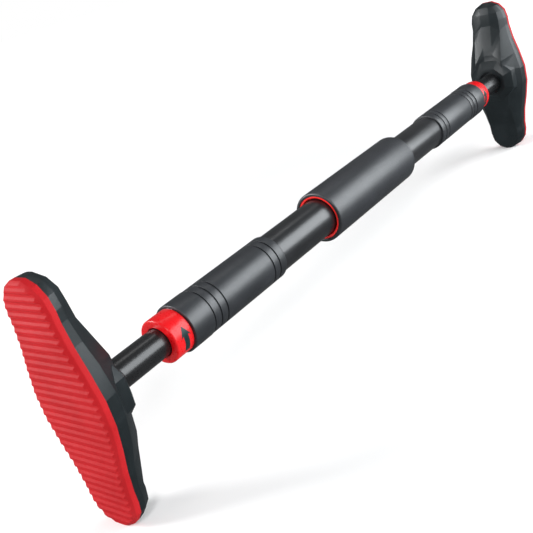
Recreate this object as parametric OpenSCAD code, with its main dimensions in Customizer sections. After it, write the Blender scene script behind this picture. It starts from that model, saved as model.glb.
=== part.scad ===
// Telescopic doorway pull up bar.
// X runs along the bar, Z along the feet, Y across them; the origin is the middle of the bar.
// Each half is drawn for the right side, and the left side is its mirror.

/* [Main tube] */
// Length of the two joined main tubes together
tube_len = 521; // [420:1:760]
// Outer diameter of the main tube
tube_od = 34; // [26:0.5:45]
// Wall of the main tube
tube_wall = 1.8; // [1.2:0.1:3]
// Length of the inner sleeve that joins the two main tubes
core_len = 120; // [70:1:140]
// Wall of the inner joining sleeve
core_wall = 1.8; // [1.2:0.1:3]
// Diameter of the rivets that hold the joining sleeve
rivet_d = 5; // [3:0.5:8]

/* [Centre sleeve] */
// Length of the thick sleeve in the middle
sleeve_len = 142; // [110:1:220]
// Wall of the thick sleeve
sleeve_wall = 3.1; // [2:0.1:5]
// Rounding of the sleeve's outer edges
sleeve_round = 1.6; // [0.5:0.1:1.9]
// Length of each bush that centres the sleeve on the tube
bush_len = 14; // [6:0.5:30]
// Wall of each bush between the tube and the sleeve
bush_wall = 3.1; // [2.4:0.1:6]
// Width of the dished inner edge of each bush
bush_dish = 1.4; // [0.4:0.1:1.8]
// How far each bush sits inside the end of the sleeve
bush_recess = 0.6; // [0:0.1:4]

/* [Grips] */
// Length of each rubber grip
grip_len = 113; // [90:1:160]
// Wall of each grip
grip_wall = 1.75; // [1.5:0.05:5]
// Extra thickness of the band at the outer end of each grip
band_rise = 0.3; // [0:0.05:1]
// Width of a groove in the grip
groove_w = 1.4; // [0.6:0.1:3]
// Depth of a groove in the grip
groove_d = 0.9; // [0.3:0.05:1.1]
// Spacing of the grooves
groove_pitch = 7.6; // [4:0.1:12]
// Distance from the outer end of the grip to the first groove
groove_start = 21.9; // [12:0.1:36]
// Distance from the inner end of the grip to the last groove
groove_end = 8.6; // [4:0.1:14]
// Number of grooves near the outer end
outer_grooves = 3; // [0:1:4]
// Number of grooves near the inner end
inner_grooves = 2; // [0:1:4]

/* [Lock ring] */
// Length of the lock ring outside the tube
ring_len = 17.6; // [10:0.2:30]
// Height of the lock ring above the surface of the main tube
ring_rise = 0.2; // [0:0.1:1.5]
// Rounding of the outer edge of the lock ring
ring_round = 1.4; // [0.4:0.1:3]
// Length of the ring's collar inside the tube
collar_len = 10.5; // [8:0.5:16]
// Height of the snap bead on the collar
bead_h = 0.4; // [0.2:0.1:0.8]
// Width of the snap bead
bead_w = 2; // [1:0.5:4]

/* [Spindle] */
// Outer diameter of the spindle tube
spindle_od = 22; // [18:0.5:25]
// Wall of the spindle tube
spindle_wall = 1.5; // [1:0.1:3]
// Length of spindle in view between the ring and the foot
reach = 46.9; // [30:0.1:100]
// How far the spindle screws in from the drawn place
travel_in = 15; // [5:1:20]
// Length of spindle held in the tube when it is screwed right out
spindle_hold = 45; // [38:1:70]
// Space between the two rods when both are screwed right in
centre_gap = 8.5; // [4:0.5:40]
// Wall of the plug between the threaded rod and the spindle
plug_wall = 1.5; // [1:0.1:3]
// Length of the thread nut
nut_len = 24; // [14:1:40]
// Length of the plug that holds the rod in the spindle
plug_len = 18; // [8:1:30]
// Length of the split collet that guides the spindle
collet_len = 26; // [14:1:27]
// Width of the slots in the collet
slot_w = 1.6; // [0.8:0.1:3]
// Thickness of the snap ring behind the collet
snap_t = 2; // [1:0.5:3]
// Depth of the snap ring in the tube wall
snap_d = 0.6; // [0.3:0.1:0.9]

/* [Foot] */
// Height of the foot
foot_h = 182.6; // [150:1:240]
// Width of the foot at its middle
foot_w = 67; // [60:0.2:96]
// Width of the round ends of the foot
end_w = 43.4; // [38:0.2:58]
// Height of the boss above the face of the pad
boss_h = 36.1; // [33:0.1:60]
// Radius across the corners of the top of the boss
boss_top_r = 18.5; // [16.5:0.1:24]
// Radius across the corners of the foot of the boss
boss_foot_r = 27.5; // [25:0.1:34]
// Height of the sloping faces of the boss
boss_slope = 6.1; // [3:0.1:10]
// Height of the ridge along each arm above the face of the pad
ridge_h = 21; // [20:0.1:27]
// Height of the facet edges beside the ridge above the face of the pad
flank_h = 19.4; // [15:0.1:22]
// Width of the ridge along each arm
ridge_w = 11; // [6:0.2:16]
// Width between the facet edges beside the ridge
flank_w = 32; // [24:0.2:38]
// How far the corners of the facets are set off along the arm
facet_shift = 4; // [0:0.5:6]
// Height of the side wall above the face of the pad
side_h = 12.4; // [11.6:0.1:14]
// How far the arms rise towards the boss
arm_rise = 13.2; // [6:0.2:15]
// Draft of the side wall
side_draft = 1.3; // [0.4:0.1:3]
// Depth of the round recess about the spindle
recess_d = 2.5; // [1:0.1:5]
// Width of the round recess about the spindle
recess_w = 3; // [1:0.1:4.5]

/* [Pad] */
// Thickness of the rubber pad
pad_t = 7; // [5:0.1:8]
// Width and depth of the bevel round the pad's face
pad_bevel = 3; // [1:0.1:4]
// Spacing of the ribs
rib_pitch = 5.63; // [4:0.1:9]
// Depth of the grooves between the ribs
rib_d = 1.3; // [0.5:0.1:2.5]
// Width of the flat crest of a rib
crest_w = 1.4; // [0.6:0.1:2.5]
// Step of the pad's back into the shell
spigot_t = 1.3; // [0.5:0.1:2]
// Width of the shell's rim round that step
rim_w = 4; // [3:0.1:6]

/* [Plate and fasteners] */
// Thickness of the steel plate in the foot
plate_t = 3; // [2:0.1:3.6]
// Diameter of the centre bolt
bolt_d = 8; // [5:0.5:10]
// Length of the centre bolt
bolt_len = 26; // [16:1:29]
// Length of the plug in the outer end of the spindle
cap_len = 22; // [12:1:26]
// Diameter of the plate screws
screw_d = 4; // [3:0.5:5]
// Length of the plate screws
screw_len = 10; // [6:0.5:10]
// Distance of the inner plate screws from the middle across the foot
screw_y = 15; // [14:0.5:17]
// Distance of the inner plate screws from the middle along the foot
screw_z = 24; // [18:0.5:30]
// Distance of the end plate screws from the end of the foot
screw_end = 22; // [16:0.5:28]

/* [Fits] */
// Radial clearance of a part that turns in another
turn_clear = 0.08; // [0.03:0.01:0.1]
// Radial clearance of a part that slides in another
slide_clear = 0.05; // [0.03:0.01:0.1]
// Gap between two parts that don't touch
free_gap = 0.3; // [0.2:0.05:0.6]

/* [Hidden] */
$fn = 96;
eps = 0.01;
over = 1;

tube_r = tube_od / 2;
tube_in_r = tube_r - tube_wall;
core_in_r = tube_in_r - core_wall;
sleeve_in_r = tube_r + bush_wall;
sleeve_r = sleeve_in_r + sleeve_wall;
grip_r = tube_r + grip_wall;
ring_r = tube_r + ring_rise;
ring_bore_r = spindle_od / 2 + free_gap;
collar_r = tube_in_r - turn_clear;
spindle_r = spindle_od / 2;
spindle_in_r = spindle_r - spindle_wall;
rod_r = spindle_in_r - plug_wall;
snap_in_r = spindle_r + 4 * free_gap;

// Places along the bar
mouth_x = tube_len / 2;
ring_in_x = mouth_x + free_gap;
ring_out_x = mouth_x + ring_len;
boss_x = ring_out_x + reach;
face_x = boss_x + boss_h;
collar_x = mouth_x - collar_len;
bead_x = collar_x + 3;
collet_out_x = collar_x - free_gap;
collet_in_x = collet_out_x - collet_len;
snap_x = collet_in_x - free_gap;
end_play = 3;
travel_out = (mouth_x - spindle_hold - 2 * travel_in - end_play - nut_len - centre_gap) / 2;
spindle_in_x = mouth_x - spindle_hold - travel_out;
nut_out_x = spindle_in_x - travel_in - end_play;
nut_in_x = nut_out_x - nut_len;
rod_in_x = nut_in_x - travel_out;
grip_out_x = mouth_x;
grip_in_x = grip_out_x - grip_len;

// Depths in the foot, measured in from the face of the pad
plate_u = pad_t + spigot_t;
seat_u = plate_u + plate_t;
plate_inset = rim_w + free_gap;
spindle_out_x = face_x - seat_u;

// The foot's outline: round ends, a waist, and a middle that swells in a cosine curve
end_r = end_w / 2;
end_z = foot_h / 2 - end_r;
waist_z = end_z * 0.95;
swell = foot_w / 2 - end_r;
arm_stations = [0.13, 0.4, 0.65, 0.88];
end_angles = [0, 25, 50, 75];
function rise(z) = z < waist_z ? (1 + cos(180 * z / waist_z)) / 2 : 0;

// How much of the arm's rise is reached at a place along the foot: none at the ends, all at the boss
climb_z = end_z * 0.88;
climb_len = end_z * 0.55;
function climb(z) = min(1, max(0, (climb_z - abs(z)) / climb_len));

// Rows of the outline set in by a margin: place along the foot, half width, and how full the end's section is
function half_rows(margin) = concat(
    [for (t = arm_stations) let(z = end_z * t) [z, end_r - margin + swell * rise(z), 1]],
    [for (a = end_angles) [end_z + (end_r - margin) * sin(a), (end_r - margin) * cos(a), cos(a)]]);
function rows(margin) = let(half = half_rows(margin), n = len(half) - 1) concat(
    [for (i = [n:-1:0]) [-half[i][0], half[i][1], half[i][2]]], half);
function outline(margin) = let(r = rows(margin)) concat(
    [for (p = r) [p[1], p[0]]],
    [for (i = [len(r) - 1:-1:0]) [-r[i][1], r[i][0]]]);

// A lathe shape about the bar's axis, from points of radius and place along the bar
module lathe(points) {
    rotate([0, 90, 0]) rotate_extrude() polygon(points);
}

// A round bar from one place along the bar to another
module rod_x(x0, x1, r) {
    translate([x0, 0, 0]) rotate([0, 90, 0]) cylinder(h = x1 - x0, r = r);
}

module tube_x(x0, x1, r_out, r_in) {
    difference() {
        rod_x(x0, x1, r_out);
        rod_x(x0 - over, x1 + over, r_in);
    }
}

// Points of a quarter round at a radius and place, from angle a0 to a1
function arc(r, x, round_r, a0, a1, steps = 6) =
    [for (i = [0:steps]) let(a = a0 + (a1 - a0) * i / steps) [r + round_r * sin(a), x + round_r * cos(a)]];

// A slab of the foot's outline between two depths from the face of the pad
module slab(u0, u1, margin) {
    translate([face_x - u1, 0, 0]) rotate([90, 0, 90])
        linear_extrude(u1 - u0) polygon(outline(margin));
}

// A closed solid through rings that all have the same number of points
module skin(rings) {
    n = len(rings[0]);
    top = len(rings) - 1;
    polyhedron(
        points = [for (ring = rings) for (p = ring) p],
        faces = concat(
            [[for (j = [0:n - 1]) j]],
            [[for (j = [n - 1:-1:0]) top * n + j]],
            [for (i = [0:top - 1]) for (j = [0:n - 1]) let(k = (j + 1) % n)
                [i * n + j, (i + 1) * n + j, (i + 1) * n + k]],
            [for (i = [0:top - 1]) for (j = [0:n - 1]) let(k = (j + 1) % n)
                [i * n + j, (i + 1) * n + k, i * n + k]]));
}

// Main tube with its grooves for the snap ring and for the bead of the lock ring
module main_tube() {
    bead_play = 0.15;
    difference() {
        tube_x(0, mouth_x, tube_r, tube_in_r);
        rod_x(snap_x - snap_t, snap_x, tube_in_r + snap_d);
        rod_x(bead_x - bead_play, bead_x + bead_w + bead_play, collar_r + bead_h + turn_clear);
        rivet_pair(core_in_r, tube_r + over);
    }
}

// Two rivets through the wall, above and below the axis
module rivet_pair(r_in, r_out) {
    for (side = [0, 180])
        rotate([side, 0, 0]) translate([core_len / 4, 0, r_in])
            cylinder(h = r_out - r_in, d = rivet_d);
}

module joint_core() {
    color("gray") difference() {
        tube_x(-core_len / 2, core_len / 2, tube_in_r, core_in_r);
        for (side = [0, 1]) mirror([side, 0, 0]) rivet_pair(core_in_r - over, tube_r);
    }
}

module core_rivets() {
    color("silver") for (side = [0, 1]) mirror([side, 0, 0])
        rivet_pair(core_in_r, sqrt(tube_r * tube_r - rivet_d * rivet_d / 4));
}

module centre_sleeve() {
    half = sleeve_len / 2;
    lip = 0.5;
    color("#33363a") lathe(concat(
        [[sleeve_in_r, lip - half], [sleeve_in_r + lip, -half]],
        arc(sleeve_r - sleeve_round, sleeve_round - half, sleeve_round, 180, 90),
        arc(sleeve_r - sleeve_round, half - sleeve_round, sleeve_round, 90, 0),
        [[sleeve_in_r + lip, half], [sleeve_in_r, half - lip]]));
}

module centre_bush() {
    x1 = sleeve_len / 2 - bush_recess;
    x0 = x1 - bush_len;
    dish_depth = 2 * bush_dish;
    lathe([[tube_r, x0], [sleeve_in_r, x0], [sleeve_in_r, x1], [tube_r + bush_dish, x1],
        [tube_r, x1 - dish_depth]]);
}

module grip() {
    lip = 0.7;
    band_r = grip_r + band_rise;
    band_x = grip_out_x - groove_start;
    difference() {
        lathe([[tube_r, grip_in_x], [grip_r - lip, grip_in_x], [grip_r, grip_in_x + lip],
            [grip_r, band_x], [band_r, band_x], [band_r, grip_out_x - lip], [band_r - lip, grip_out_x],
            [tube_r, grip_out_x]]);
        for (i = [0:1:outer_grooves - 1]) groove(band_x - i * groove_pitch);
        for (i = [0:1:inner_grooves - 1]) groove(grip_in_x + groove_end + i * groove_pitch);
    }
}

module groove(x) {
    tube_x(x - groove_w / 2, x + groove_w / 2, grip_r + band_rise + over, grip_r - groove_d);
}

module thread_nut() {
    relief = 1;
    lathe([[rod_r + slide_clear, nut_in_x], [tube_in_r - relief, nut_in_x], [tube_in_r, nut_in_x + relief],
        [tube_in_r, nut_out_x], [rod_r + slide_clear, nut_out_x]]);
}

module snap_ring() {
    gap_w = 8;
    difference() {
        tube_x(snap_x - snap_t, snap_x, tube_in_r + snap_d, snap_in_r);
        translate([snap_x - snap_t / 2, 0, -tube_r / 2 - snap_in_r / 2])
            cube([snap_t + over, gap_w, tube_r + over], center = true);
    }
}

module lock_ring() {
    lip = 0.5;
    lathe(concat(
        [[ring_bore_r, collar_x], [collar_r, collar_x], [collar_r, bead_x],
            [collar_r + bead_h, bead_x + bead_w / 4], [collar_r + bead_h, bead_x + bead_w * 3 / 4],
            [collar_r, bead_x + bead_w], [collar_r, ring_in_x], [ring_r - lip, ring_in_x],
            [ring_r, ring_in_x + lip]],
        arc(ring_r - ring_round, ring_out_x - ring_round, ring_round, 90, 0),
        [[ring_bore_r + lip, ring_out_x], [ring_bore_r, ring_out_x - lip]]));
}

module collet() {
    slot_len = collet_len * 0.6;
    difference() {
        tube_x(collet_in_x, collet_out_x, collar_r, spindle_r + slide_clear);
        for (a = [0, 90])
            rotate([a, 0, 0]) translate([collet_in_x - over, -tube_od / 2, -slot_w / 2])
                cube([slot_len + over, tube_od, slot_w]);
    }
}

module spindle() {
    tube_x(spindle_in_x, spindle_out_x, spindle_r, spindle_in_r);
}

module spindle_cap() {
    tube_x(spindle_out_x - cap_len, spindle_out_x, spindle_in_r, bolt_d / 2 + slide_clear);
}

module rod_plug() {
    tube_x(spindle_in_x, spindle_in_x + plug_len, spindle_in_r, rod_r);
}

module threaded_rod() {
    bevel = 1.5;
    end_x = spindle_in_x + plug_len;
    lathe([[0, rod_in_x], [rod_r - bevel, rod_in_x], [rod_r, rod_in_x + bevel], [rod_r, end_x], [0, end_x]]);
}

// Places of the plate screws, across and along the foot
screw_places = concat(
    [for (y = [-1, 1]) for (z = [-1, 1]) [y * screw_y, z * screw_z]],
    [for (z = [-1, 1]) [0, z * (foot_h / 2 - screw_end)]]);

// A countersunk screw with its head flush with the pad side of the plate
module countersunk(d, length) {
    r = d / 2;
    head_r = r * 1.9;
    x1 = face_x - plate_u;
    lathe([[0, x1 - length], [r, x1 - length], [r, x1 - plate_t], [head_r, x1], [0, x1]]);
}

module at_screws() {
    for (place = screw_places) translate([0, place[0], place[1]]) children();
}

module foot_plate() {
    difference() {
        slab(plate_u, seat_u, plate_inset);
        countersunk(bolt_d, plate_t + over);
        at_screws() countersunk(screw_d, plate_t + over);
    }
}

module plate_screws() {
    at_screws() countersunk(screw_d, screw_len);
}

module foot_bolt() {
    countersunk(bolt_d, bolt_len);
}

// One section across an arm, from the pad side round over the ridge; the upper corners sit off the row
function section(row, shift) = let(
    z = row[0], w = row[1], full = row[2], flank_z = z + shift, ridge_z = z - shift,
    side = side_h + arm_rise * 0.3 * climb(z),
    flank = side_h + (flank_h - side_h) * full + arm_rise * climb(flank_z),
    ridge = side_h + (ridge_h - side_h) * full + arm_rise * 0.75 * climb(ridge_z),
    flank_y = min(flank_w / 2, (w - side_draft) * 0.8),
    ridge_y = min(ridge_w / 2, flank_y * 0.5),
    half = [[pad_t, w, z], [side, w - side_draft, z], [flank, flank_y, flank_z], [ridge, ridge_y, ridge_z]])
    concat([[face_x - pad_t, -w, z]],
        [for (p = half) [face_x - p[0], p[1], p[2]]],
        [for (i = [3:-1:1]) [face_x - half[i][0], -half[i][1], half[i][2]]]);

module boss() {
    slope_u = boss_h - boss_slope;
    foot_draft = 3;
    rotate([22.5, 0, 0]) {
        translate([face_x - slope_u, 0, 0]) rotate([0, 90, 0])
            cylinder(h = slope_u - side_h, r1 = boss_foot_r, r2 = boss_foot_r + foot_draft, $fn = 8);
        translate([boss_x, 0, 0]) rotate([0, 90, 0])
            cylinder(h = boss_slope, r1 = boss_top_r, r2 = boss_foot_r, $fn = 8);
    }
}

// A pocket that lightens an arm, behind the plate
module arm_pocket() {
    pocket_y = 16;
    pocket_z = 26;
    pocket_d = 4.5;
    for (side = [-1, 1])
        translate([face_x - seat_u - pocket_d / 2, 0, side * end_z * 0.7])
            cube([pocket_d + 2 * eps, pocket_y, pocket_z], center = true);
}

module foot_shell() {
    all_rows = rows(0);
    last = len(all_rows) - 1;
    function row_shift(i) = i < 4 || i > last - 4 ? 0 : (i % 2 == 0 ? 1 : -1) * facet_shift * (i < last / 2 ? -1 : 1);
    difference() {
        union() {
            skin([for (i = [0:len(all_rows) - 1]) section(all_rows[i], row_shift(i))]);
            boss();
        }
        slab(pad_t - over, seat_u, rim_w);
        arm_pocket();
        rod_x(boss_x - over, face_x, spindle_r + slide_clear);
        rod_x(boss_x - over, boss_x + recess_d, spindle_r + recess_w);
        at_screws() countersunk(screw_d, screw_len);
    }
}

// Grooves between the ribs, with a crest on the middle line
module rib_grooves() {
    side = (rib_pitch - crest_w) / 2;
    floor_w = side * 0.4;
    count = ceil(foot_h / rib_pitch / 2);
    for (i = [-count:count - 1])
        translate([face_x, foot_w, (i + 0.5) * rib_pitch]) rotate([90, 0, 0])
            linear_extrude(2 * foot_w)
                polygon([[over, -side], [0, -side], [-rib_d, -floor_w], [-rib_d, floor_w], [0, side], [over, side]]);
}

module pad() {
    ring = function(u, margin) [for (p = outline(margin)) [face_x - u, p[0], p[1]]];
    difference() {
        union() {
            skin([ring(pad_t, 0), ring(pad_bevel, 0), ring(0, pad_bevel)]);
            slab(pad_t - eps, plate_u, rim_w + free_gap);
        }
        rib_grooves();
    }
}

module left() {
    mirror([1, 0, 0]) children();
}

module left_main_tube() {
    color("#2e3034") left() main_tube();
}

module right_main_tube() {
    color("#2e3034") main_tube();
}

module left_centre_bush() {
    color("#e8262c") left() centre_bush();
}

module right_centre_bush() {
    color("#e8262c") centre_bush();
}

module left_grip() {
    color("#2b2d30") left() grip();
}

module right_grip() {
    color("#2b2d30") grip();
}

module left_thread_nut() {
    color("#d8d4c4") left() thread_nut();
}

module right_thread_nut() {
    color("#d8d4c4") thread_nut();
}

module left_snap_ring() {
    color("silver") left() snap_ring();
}

module right_snap_ring() {
    color("silver") snap_ring();
}

module left_lock_ring() {
    color("#ee2a2e") left() lock_ring();
}

module right_lock_ring() {
    color("#ee2a2e") lock_ring();
}

module left_collet() {
    color("#d8d4c4") left() collet();
}

module right_collet() {
    color("#d8d4c4") collet();
}

module left_spindle() {
    color("#232427") left() spindle();
}

module right_spindle() {
    color("#232427") spindle();
}

module left_spindle_cap() {
    color("gray") left() spindle_cap();
}

module right_spindle_cap() {
    color("gray") spindle_cap();
}

module left_rod_plug() {
    color("gray") left() rod_plug();
}

module right_rod_plug() {
    color("gray") rod_plug();
}

module left_threaded_rod() {
    color("silver") left() threaded_rod();
}

module right_threaded_rod() {
    color("silver") threaded_rod();
}

module left_foot_plate() {
    color("#8a8d90") left() foot_plate();
}

module right_foot_plate() {
    color("#8a8d90") foot_plate();
}

module left_plate_screws() {
    color("silver") left() plate_screws();
}

module right_plate_screws() {
    color("silver") plate_screws();
}

module left_foot_bolt() {
    color("silver") left() foot_bolt();
}

module right_foot_bolt() {
    color("silver") foot_bolt();
}

module left_foot_shell() {
    color("#24282b") left() foot_shell();
}

module right_foot_shell() {
    color("#24282b") foot_shell();
}

module left_pad() {
    color("#ee2a2e") left() pad();
}

module right_pad() {
    color("#ee2a2e") pad();
}

left_main_tube();
right_main_tube();
joint_core();
core_rivets();
centre_sleeve();
left_centre_bush();
right_centre_bush();
left_grip();
right_grip();
left_thread_nut();
right_thread_nut();
left_snap_ring();
right_snap_ring();
left_lock_ring();
right_lock_ring();
left_collet();
right_collet();
left_spindle();
right_spindle();
left_spindle_cap();
right_spindle_cap();
left_rod_plug();
right_rod_plug();
left_threaded_rod();
right_threaded_rod();
left_foot_plate();
right_foot_plate();
left_plate_screws();
right_plate_screws();
left_foot_bolt();
right_foot_bolt();
left_foot_shell();
right_foot_shell();
left_pad();
right_pad();
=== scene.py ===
import math

import bmesh
import bpy
from mathutils import Matrix, Vector


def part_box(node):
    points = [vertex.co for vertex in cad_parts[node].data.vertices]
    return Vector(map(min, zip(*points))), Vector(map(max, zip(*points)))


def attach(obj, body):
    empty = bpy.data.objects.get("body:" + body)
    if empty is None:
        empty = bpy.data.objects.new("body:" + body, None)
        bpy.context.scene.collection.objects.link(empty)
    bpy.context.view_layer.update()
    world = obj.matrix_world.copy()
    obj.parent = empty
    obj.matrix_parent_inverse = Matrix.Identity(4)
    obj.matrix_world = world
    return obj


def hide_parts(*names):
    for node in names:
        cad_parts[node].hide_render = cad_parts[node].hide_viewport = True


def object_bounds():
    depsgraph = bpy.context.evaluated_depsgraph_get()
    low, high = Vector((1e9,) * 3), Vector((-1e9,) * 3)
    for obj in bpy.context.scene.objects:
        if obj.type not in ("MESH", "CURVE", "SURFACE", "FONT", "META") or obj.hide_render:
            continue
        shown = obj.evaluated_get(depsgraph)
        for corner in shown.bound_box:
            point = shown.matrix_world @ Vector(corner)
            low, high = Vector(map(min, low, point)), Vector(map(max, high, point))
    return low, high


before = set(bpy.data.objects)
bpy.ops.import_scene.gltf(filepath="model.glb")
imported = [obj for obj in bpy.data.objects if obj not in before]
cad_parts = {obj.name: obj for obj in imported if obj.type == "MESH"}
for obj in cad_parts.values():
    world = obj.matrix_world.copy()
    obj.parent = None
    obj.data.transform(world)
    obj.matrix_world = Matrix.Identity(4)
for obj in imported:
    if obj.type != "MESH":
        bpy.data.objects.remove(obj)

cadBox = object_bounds()
mm = 0.001
sideSigns = {"left": -1, "right": 1}
print("frame loaded:", len(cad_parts), "nodes")


# Where a CAD node lies along the bar: its inner end, outer end and radius, in millimetres
def spanOf(node):
    low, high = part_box(node)
    ends = sorted((abs(low.x), abs(high.x)))
    return ends[0] / mm, ends[1] / mm, high.z / mm


# A material with nothing in it but a shader and its output
def newMaterial(name):
    material = bpy.data.materials.new(name)
    material.use_nodes = True
    nodes, links = material.node_tree.nodes, material.node_tree.links
    nodes.clear()
    shader = nodes.new("ShaderNodeBsdfPrincipled")
    output = nodes.new("ShaderNodeOutputMaterial")
    links.new(shader.outputs["BSDF"], output.inputs["Surface"])
    return material, nodes, links, shader


# A noise pattern on the piece's own place; stretch thins it along an axis
def addNoise(nodes, links, scale, detail=2.0, roughness=0.5, stretch=(1, 1, 1)):
    place = nodes.new("ShaderNodeTexCoord")
    mapping = nodes.new("ShaderNodeMapping")
    mapping.inputs["Scale"].default_value = stretch
    noise = nodes.new("ShaderNodeTexNoise")
    noise.inputs["Scale"].default_value = scale
    noise.inputs["Detail"].default_value = detail
    noise.inputs["Roughness"].default_value = roughness
    links.new(place.outputs["Object"], mapping.inputs["Vector"])
    links.new(mapping.outputs["Vector"], noise.inputs["Vector"])
    return noise.outputs["Fac"]


# Small round cells, as on a moulded or sprayed surface
def addCells(nodes, links, scale):
    place = nodes.new("ShaderNodeTexCoord")
    cells = nodes.new("ShaderNodeTexVoronoi")
    cells.feature = "SMOOTH_F1"
    cells.inputs["Scale"].default_value = scale
    cells.inputs["Smoothness"].default_value = 0.6
    links.new(place.outputs["Object"], cells.inputs["Vector"])
    return cells.outputs["Distance"]


# Part of a pattern's range, its middle unless another part is given, spread from low to high
def addRange(nodes, links, source, low, high, fromLow=0.35, fromHigh=0.65):
    spread = nodes.new("ShaderNodeMapRange")
    spread.inputs["From Min"].default_value = fromLow
    spread.inputs["From Max"].default_value = fromHigh
    spread.inputs["To Min"].default_value = low
    spread.inputs["To Max"].default_value = high
    links.new(source, spread.inputs["Value"])
    return spread.outputs["Result"]


# Two colours mixed by a pattern
def addBlend(nodes, links, source, first, second):
    blend = nodes.new("ShaderNodeMix")
    blend.data_type = "RGBA"
    links.new(source, blend.inputs["Factor"])
    for socket, colour in ((blend.inputs[6], first), (blend.inputs[7], second)):
        if isinstance(colour, tuple):
            socket.default_value = (*colour, 1)
        else:
            links.new(colour, socket)
    return blend.outputs[2]


# Bumps laid over each other: (pattern, height in millimetres, strength)
def addBumps(nodes, links, shader, layers):
    last = None
    for pattern, height, strength in layers:
        bump = nodes.new("ShaderNodeBump")
        bump.inputs["Distance"].default_value = height * mm
        bump.inputs["Strength"].default_value = strength
        links.new(pattern, bump.inputs["Height"])
        if last:
            links.new(last, bump.inputs["Normal"])
        last = bump.outputs["Normal"]
    links.new(last, shader.inputs["Normal"])


# What all finishes share: the detail of both patterns, how far the grain darkens, how strong a bump is
pattern = {"swirlDetail": 4, "swirlRoughness": 0.6, "grainDetail": 2, "grainShade": 0.35, "bump": 0.5}
finishes = {
    "tubeCoat": dict(dark=(0.007, 0.0075, 0.0085), light=(0.012, 0.0125, 0.0142), rough=(0.28, 0.36),
                     grain=1500, grainHeight=0.02, swirl=60, specular=0.7, coat=0.1, coatRough=0.2),
    "spindleCoat": dict(dark=(0.006, 0.0062, 0.0066), light=(0.010, 0.0102, 0.0108), rough=(0.27, 0.30),
                        grain=1900, grainHeight=0.006, swirl=45, specular=0.55, coat=0.12, coatRough=0.15,
                        stretch=(0.3, 1, 1)),
    "sleeveCoat": dict(dark=(0.011, 0.0125, 0.0155), light=(0.018, 0.020, 0.0245), rough=(0.40, 0.50),
                       grain=1100, grainHeight=0.05, cells=1300, cellHeight=0.05, swirl=40, specular=0.85),
    "gripRubber": dict(dark=(0.010, 0.0118, 0.0145), light=(0.017, 0.0192, 0.023), rough=(0.38, 0.48),
                       grain=1400, grainHeight=0.035, cells=1700, cellHeight=0.035, swirl=50, specular=0.8),
    "ringPlastic": dict(dark=(0.60, 0.004, 0.007), light=(0.68, 0.007, 0.010), rough=(0.26, 0.34),
                        grain=420, grainHeight=0.02, swirl=70, specular=0.3, coat=0.1, coatRough=0.15),
    "bushPlastic": dict(dark=(0.80, 0.016, 0.014), light=(0.90, 0.028, 0.022), rough=(0.34, 0.44),
                        grain=420, grainHeight=0.02, swirl=70, specular=0.3),
    "padRubber": dict(dark=(0.36, 0.007, 0.010), light=(0.43, 0.011, 0.015), rough=(0.5, 0.62),
                      grain=1300, grainHeight=0.05, cells=900, cellHeight=0.02, swirl=35, specular=0.1),
    "shellNylon": dict(dark=(0.005, 0.0085, 0.0098), light=(0.009, 0.0135, 0.0155), rough=(0.34, 0.44),
                       grain=1500, grainHeight=0.03, cells=1100, cellHeight=0.025, swirl=45, specular=0.36),
    "arrowInk": dict(dark=(0.005, 0.020, 0.022), light=(0.009, 0.030, 0.032), rough=(0.35, 0.45),
                     grain=1200, grainHeight=0.02, swirl=120, specular=0.3),
    "naturalNylon": dict(dark=(0.62, 0.59, 0.50), light=(0.74, 0.71, 0.62), rough=(0.38, 0.5),
                         grain=900, grainHeight=0.03, swirl=60, specular=0.5),
    "darkSteel": dict(dark=(0.20, 0.20, 0.21), light=(0.30, 0.30, 0.31), rough=(0.32, 0.45),
                      grain=1400, grainHeight=0.02, swirl=80, specular=0.5, metal=1.0),
    "zincSteel": dict(dark=(0.50, 0.51, 0.52), light=(0.66, 0.66, 0.66), rough=(0.24, 0.36),
                      grain=1600, grainHeight=0.02, swirl=90, specular=0.5, metal=1.0, stretch=(0.15, 1, 1)),
}


# Slow swirls mix two colours, fine grain darkens them and varies the gloss
def makeFinish(name, spec):
    material, nodes, links, shader = newMaterial(name)
    stretch = spec.get("stretch", (1, 1, 1))
    swirl = addNoise(nodes, links, spec["swirl"], pattern["swirlDetail"], pattern["swirlRoughness"])
    grain = addNoise(nodes, links, spec["grain"], pattern["grainDetail"], stretch=stretch)
    colour = addBlend(nodes, links, addRange(nodes, links, swirl, 0, 1), spec["dark"], spec["light"])
    shade = addRange(nodes, links, grain, 0, pattern["grainShade"])
    colour = addBlend(nodes, links, shade, colour, spec["dark"])
    links.new(colour, shader.inputs["Base Color"])
    links.new(addRange(nodes, links, grain, *spec["rough"]), shader.inputs["Roughness"])
    shader.inputs["Specular IOR Level"].default_value = spec["specular"]
    shader.inputs["Metallic"].default_value = spec.get("metal", 0)
    shader.inputs["Coat Weight"].default_value = spec.get("coat", 0)
    shader.inputs["Coat Roughness"].default_value = spec.get("coatRough", 0.1)
    layers = [(grain, spec["grainHeight"], pattern["bump"])]
    if "cells" in spec:
        layers.append((addCells(nodes, links, spec["cells"]), spec["cellHeight"], pattern["bump"]))
    addBumps(nodes, links, shader, layers)
    return material


finish = {name: makeFinish(name, spec) for name, spec in finishes.items()}
print("finishes made:", len(finish))


# A bmesh becomes a smooth-shaded piece that rides on a body and stands for its CAD nodes
def addPiece(name, bm, body, material, nodes=(), sharp=35):
    mesh = bpy.data.meshes.new(name)
    bm.to_mesh(mesh)
    bm.free()
    mesh.materials.append(finish[material])
    mesh.shade_smooth()
    mesh.set_sharp_from_angle(angle=math.radians(sharp))
    piece = bpy.data.objects.new(name, mesh)
    bpy.context.scene.collection.objects.link(piece)
    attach(piece, body)
    if nodes:
        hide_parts(*nodes)
    return piece


merge = {"spun": 1e-7, "copied": 2e-6, "rim": 2e-6}  # metres within which points count as one
rimSegments = 4
flatAngle = 0.6  # degrees under which two faces count as one flat face


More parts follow.
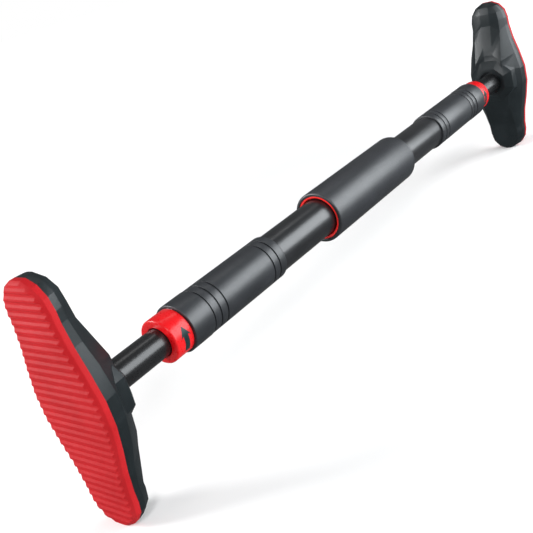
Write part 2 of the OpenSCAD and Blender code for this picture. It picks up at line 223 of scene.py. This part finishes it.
# Whether an edge is part of the ring at this place along the bar and this radius
def liesOn(edge, x, r):
    return all(abs(v.co.x - x) < merge["rim"] and abs(math.hypot(v.co.y, v.co.z) - r) < merge["rim"]
               for v in edge.verts)


# A closed section of (place along the bar, radius, rounding) in millimetres, spun about the bar
def spinSection(section, sign, segments):
    bm = bmesh.new()
    corners = [bm.verts.new((sign * x * mm, 0, r * mm)) for x, r, rounding in section]
    edges = [bm.edges.new((corners[i - 1], corners[i])) for i in range(len(corners))]
    bmesh.ops.spin(bm, geom=corners + edges, cent=(0, 0, 0), axis=(1, 0, 0), dvec=(0, 0, 0),
                   angle=2 * math.pi, steps=segments, use_merge=True, use_duplicate=False)
    bmesh.ops.remove_doubles(bm, verts=bm.verts, dist=merge["spun"])
    bmesh.ops.recalc_face_normals(bm, faces=bm.faces)
    for rounding in sorted({corner[2] for corner in section if corner[2]}, reverse=True):
        rims = [corner for corner in section if corner[2] == rounding]
        rounded = [edge for edge in bm.edges if any(liesOn(edge, sign * x * mm, r * mm) for x, r, _ in rims)]
        bmesh.ops.bevel(bm, geom=rounded, offset=rounding * mm, offset_type="OFFSET",
                        segments=rimSegments, profile=0.5, affect="EDGES", material=-1,
                        clamp_overlap=True)
    bmesh.ops.recalc_face_normals(bm, faces=bm.faces)
    return bm


# A merged copy of a CAD node with its flat faces whole again
def copyNode(node):
    bm = bmesh.new()
    bm.from_mesh(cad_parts[node].data)
    bmesh.ops.remove_doubles(bm, verts=bm.verts, dist=merge["copied"])
    bmesh.ops.dissolve_limit(bm, angle_limit=math.radians(flatAngle), verts=bm.verts, edges=bm.edges)
    return bm


# The two main tubes, open at both ends
mainTube = {"wall": 1.8, "rim": 0.4, "segments": 128}
for side, sign in sideSigns.items():
    inner, outer, radius = spanOf(side + "_main_tube")
    bore = radius - mainTube["wall"]
    section = [(inner, bore, 0), (inner, radius, 0), (outer, radius, mainTube["rim"]), (outer, bore, 0)]
    addPiece(side + "MainTube", spinSection(section, sign, mainTube["segments"]), "bar", "tubeCoat",
             [side + "_main_tube"])
print("main tubes done")


# The thick middle sleeve, and the red bush in each end of it
centreSleeve = {"wall": 3.1, "edge": 1.5, "lip": 0.5, "segments": 160}
bush = {"dish": 1.4, "dishDepth": 2.8, "edge": 0.35, "segments": 160}
_, sleeveEnd, sleeveRadius = spanOf("centre_sleeve")
sleeveBore = sleeveRadius - centreSleeve["wall"]
section = [(-sleeveEnd, sleeveBore, centreSleeve["lip"]), (-sleeveEnd, sleeveRadius, centreSleeve["edge"]),
           (sleeveEnd, sleeveRadius, centreSleeve["edge"]), (sleeveEnd, sleeveBore, centreSleeve["lip"])]
addPiece("centreSleeve", spinSection(section, 1, centreSleeve["segments"]), "bar", "sleeveCoat",
         ["centre_sleeve"])
tubeRadius = spanOf("right_main_tube")[2]
for side, sign in sideSigns.items():
    inner, outer, radius = spanOf(side + "_centre_bush")
    section = [(inner, tubeRadius, 0), (inner, radius, 0), (outer, radius, bush["edge"]),
               (outer, tubeRadius + bush["dish"], bush["edge"]),
               (outer - bush["dishDepth"], tubeRadius, 0)]
    addPiece(side + "CentreBush", spinSection(section, sign, bush["segments"]), "bar", "bushPlastic",
             [side + "_centre_bush"])
print("centre sleeve done")


# The grips: a raised outer band, and grooves placed from the outer end
grip = {"wall": 1.75, "bandEnd": 21.9, "grooves": [21.9, 29.5, 37.1, 96.8, 104.4], "width": 1.4,
        "depth": 0.9, "grooveEdge": 0.15, "outerEdge": 0.7, "innerEdge": 0.9, "segments": 128}
for side, sign in sideSigns.items():
    inner, outer, radius = spanOf(side + "_grip")
    body = tubeRadius + grip["wall"]
    half = grip["width"] / 2
    section = [(inner, tubeRadius, 0), (outer, tubeRadius, 0), (outer, radius, grip["outerEdge"])]
    for place in grip["grooves"]:
        x = outer - place
        top = radius if place <= grip["bandEnd"] else body
        section += [(x + half, top, grip["grooveEdge"]), (x + half, body - grip["depth"], 0),
                    (x - half, body - grip["depth"], 0), (x - half, body, grip["grooveEdge"])]
    section.append((inner, body, grip["innerEdge"]))
    addPiece(side + "Grip", spinSection(section, sign, grip["segments"]), "bar", "gripRubber",
             [side + "_grip"])
print("grips done")


# The lock rings, each with a turn arrow on its front
lockRing = {"bore": 11.3, "collar": 15.12, "edge": 1.4, "gripEdge": 0.5, "boreEdge": 0.5, "mouthGap": 0.3,
            "segments": 128}
turnArrow = {"place": 10.2, "low": -37, "shoulder": 5, "tip": 28, "shaft": 4.6, "head": 9.6,
             "barb": 1.6, "thick": 0.12, "sink": 0.03, "slices": 24}


# The flat outline of the arrow, wrapped round the ring: y runs round it, x along the bar
def wrapArrow(centre, radius):
    bm = bmesh.new()
    perDegree = math.radians(1) * radius
    shaft, head = turnArrow["shaft"] / 2, turnArrow["head"] / 2
    low, shoulder, tip = (turnArrow[key] * perDegree for key in ("low", "shoulder", "tip"))
    outline = [(-shaft, low), (shaft, low), (shaft, shoulder), (head, shoulder - turnArrow["barb"]),
               (0, tip), (-head, shoulder - turnArrow["barb"]), (-shaft, shoulder)]
    bm.faces.new([bm.verts.new((x, y, 0)) for x, y in outline])
    for i in range(1, turnArrow["slices"]):
        y = low + (tip - low) * i / turnArrow["slices"]
        bmesh.ops.bisect_plane(bm, geom=bm.verts[:] + bm.edges[:] + bm.faces[:], plane_co=(0, y, 0),
                               plane_no=(0, 1, 0))
    bmesh.ops.solidify(bm, geom=bm.faces[:], thickness=turnArrow["thick"])
    lowest = min(v.co.z for v in bm.verts)
    for v in bm.verts:
        angle = v.co.y / radius
        reach = radius - turnArrow["sink"] + (v.co.z - lowest)
        v.co = Vector(((centre + v.co.x) * mm, -reach * math.cos(angle) * mm, reach * math.sin(angle) * mm))
    bmesh.ops.recalc_face_normals(bm, faces=bm.faces)
    return bm


for side, sign in sideSigns.items():
    inner, outer, radius = spanOf(side + "_lock_ring")
    mouth = spanOf(side + "_main_tube")[1] + lockRing["mouthGap"]
    section = [(inner, lockRing["bore"], 0), (outer, lockRing["bore"], lockRing["boreEdge"]),
               (outer, radius, lockRing["edge"]), (mouth, radius, lockRing["gripEdge"]),
               (mouth, lockRing["collar"], 0), (inner, lockRing["collar"], 0)]
    addPiece(side + "LockRing", spinSection(section, sign, lockRing["segments"]), side + "_lock",
             "ringPlastic", [side + "_lock_ring"])
    addPiece(side + "TurnArrow", wrapArrow(sign * (outer - turnArrow["place"]), radius), side + "_lock",
             "arrowInk")
print("lock rings done")


# The spindles, which carry the feet
spindle = {"wall": 1.5, "rim": 0.3, "segments": 128}
for side, sign in sideSigns.items():
    inner, outer, radius = spanOf(side + "_spindle")
    bore = radius - spindle["wall"]
    section = [(inner, bore, 0), (inner, radius, spindle["rim"]), (outer, radius, 0), (outer, bore, 0)]
    addPiece(side + "Spindle", spinSection(section, sign, spindle["segments"]), side + "_foot",
             "spindleCoat", [side + "_spindle"])
print("spindles done")


# The feet: the faceted shell and the ribbed pad, both with softened folds
footShell = {"edge": 0.45, "segments": 2, "fold": 6, "sharp": 25}
padFace = {"edge": 0.35, "segments": 2, "fold": 18, "sharp": 40}


# A copy of a CAD node with every fold sharper than spec["fold"] degrees bevelled
def softenFolds(node, spec):
    bm = copyNode(node)
    folds = [edge for edge in bm.edges if edge.is_manifold
             and edge.calc_face_angle(0) > math.radians(spec["fold"])]
    bmesh.ops.bevel(bm, geom=folds, offset=spec["edge"] * mm, offset_type="OFFSET",
                    segments=spec["segments"], profile=0.5, affect="EDGES", material=-1,
                    clamp_overlap=True)
    return bm


for side in sideSigns:
    addPiece(side + "FootShell", softenFolds(side + "_foot_shell", footShell), side + "_foot",
             "shellNylon", [side + "_foot_shell"], sharp=footShell["sharp"])
    addPiece(side + "Pad", softenFolds(side + "_pad", padFace), side + "_foot", "padRubber",
             [side + "_pad"], sharp=padFace["sharp"])
print("feet done")


# CAD nodes that stay as they are, with the finish of each
keptNodes = {
    "joint_core": "darkSteel", "core_rivets": "zincSteel", "thread_nut": "naturalNylon",
    "snap_ring": "zincSteel", "collet": "naturalNylon", "spindle_cap": "darkSteel",
    "rod_plug": "darkSteel", "threaded_rod": "zincSteel", "foot_plate": "zincSteel",
    "plate_screws": "zincSteel", "foot_bolt": "zincSteel",
}
for node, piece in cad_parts.items():
    plain = node.replace("left_", "").replace("right_", "")
    if plain in keptNodes:
        piece.data.materials.clear()
        piece.data.materials.append(finish[keptNodes[plain]])
print("CAD nodes finished")


# The floor: plain paper with a glow that grows with distance, so that it fades to white
floorPaper = {"size": 60, "colour": (0.86, 0.845, 0.83), "dapple": 0.99, "noise": 3, "noiseDetail": 2,
              "rough": 0.9, "specular": 0.1, "glowNear": 0.10, "glowFar": 1.0, "nearReach": 0.5,
              "farReach": 2.2}
bmFloor = bmesh.new()
bmesh.ops.create_grid(bmFloor, x_segments=1, y_segments=1, size=floorPaper["size"] / 2)
bmesh.ops.translate(bmFloor, verts=bmFloor.verts, vec=(0, 0, cadBox[0][2]))
floorMesh = bpy.data.meshes.new("floor")
bmFloor.to_mesh(floorMesh)
bmFloor.free()
floor = bpy.data.objects.new("floor", floorMesh)
bpy.context.scene.collection.objects.link(floor)
paper, nodes, links, shader = newMaterial("floorPaper")
paperNoise = addNoise(nodes, links, floorPaper["noise"], floorPaper["noiseDetail"])
paperColour = addBlend(nodes, links, paperNoise, floorPaper["colour"],
                       tuple(c * floorPaper["dapple"] for c in floorPaper["colour"]))
links.new(paperColour, shader.inputs["Base Color"])
shader.inputs["Roughness"].default_value = floorPaper["rough"]
shader.inputs["Specular IOR Level"].default_value = floorPaper["specular"]
shader.inputs["Emission Color"].default_value = (1, 1, 1, 1)
place = nodes.new("ShaderNodeTexCoord")
reach = nodes.new("ShaderNodeVectorMath")
reach.operation = "LENGTH"
links.new(place.outputs["Object"], reach.inputs[0])
glow = addRange(nodes, links, reach.outputs["Value"], floorPaper["glowNear"], floorPaper["glowFar"],
                floorPaper["nearReach"], floorPaper["farReach"])
links.new(glow, shader.inputs["Emission Strength"])
floorMesh.materials.append(paper)
floor.visible_glossy = False  # else it greys the black pieces

lamps = {  # place, aim, width, height, watts, colour
    "window": ((0.74, -1.25, 0.50), (0.0, 0, 0.1), 2.1, 1.15, 46, (0.92, 0.965, 1.0)),
    "left": ((-1.25, 1.3, 0.75), (-0.3, 0, 0.0), 0.7, 0.7, 36, (0.97, 0.985, 1.0)),
    "front": ((-1.35, -0.75, 1.05), (-0.3, 0, 0.0), 0.42, 0.42, 13, (0.97, 0.985, 1.0)),
    "top": ((0.2, 0.35, 1.5), (0.1, 0, 0), 2.2, 0.25, 4, (1.0, 1.0, 1.0)),
}
for name, (place, aim, width, height, watts, colour) in lamps.items():
    light = bpy.data.lights.new(name, "AREA")
    light.shape = "RECTANGLE"
    light.size, light.size_y = width, height
    light.energy = watts
    light.color = colour
    lamp = bpy.data.objects.new(name, light)
    lamp.location = place
    lamp.rotation_euler = (Vector(aim) - Vector(place)).to_track_quat("-Z", "Y").to_euler()
    bpy.context.scene.collection.objects.link(lamp)

# A soft sky lights the bar, and the camera sees a white backdrop in its place
sky = {"colour": (0.95, 0.975, 1.0), "strength": 0.17, "backdrop": (1.0, 1.0, 1.0)}
world = bpy.data.worlds.new("studio")
world.use_nodes = True
nodes, links = world.node_tree.nodes, world.node_tree.links
nodes.clear()
soft = nodes.new("ShaderNodeBackground")
soft.inputs["Color"].default_value = (*sky["colour"], 1)
soft.inputs["Strength"].default_value = sky["strength"]
backdrop = nodes.new("ShaderNodeBackground")
backdrop.inputs["Color"].default_value = (*sky["backdrop"], 1)
path = nodes.new("ShaderNodeLightPath")
pick = nodes.new("ShaderNodeMixShader")
output = nodes.new("ShaderNodeOutputWorld")
links.new(path.outputs["Is Camera Ray"], pick.inputs["Fac"])
links.new(soft.outputs["Background"], pick.inputs[1])
links.new(backdrop.outputs["Background"], pick.inputs[2])
links.new(pick.outputs["Shader"], output.inputs["Surface"])
bpy.context.scene.world = world
bpy.context.scene.view_settings.view_transform = "Standard"

# The camera stands to the left of the bar, in front of it and above, and leans over to one side
view = {"place": (-0.57551, -0.39618, 0.21846), "lens": 52.486, "sensor": 36, "near": 0.01, "far": 200,
        "right": (0.57322, -0.77036, -0.27921), "up": (0.4557, 0.01653, 0.88998)}
cameraData = bpy.data.cameras.new("camera")
cameraData.lens = view["lens"]
cameraData.sensor_width = view["sensor"]
cameraData.clip_start, cameraData.clip_end = view["near"], view["far"]
camera = bpy.data.objects.new("camera", cameraData)
bpy.context.scene.collection.objects.link(camera)
right, up = Vector(view["right"]).normalized(), Vector(view["up"])
back = right.cross(up).normalized()
up = back.cross(right)
camera.matrix_world = Matrix.LocRotScale(Vector(view["place"]), Matrix((right, up, back)).transposed(), None)
bpy.context.scene.camera = camera
print("studio done")
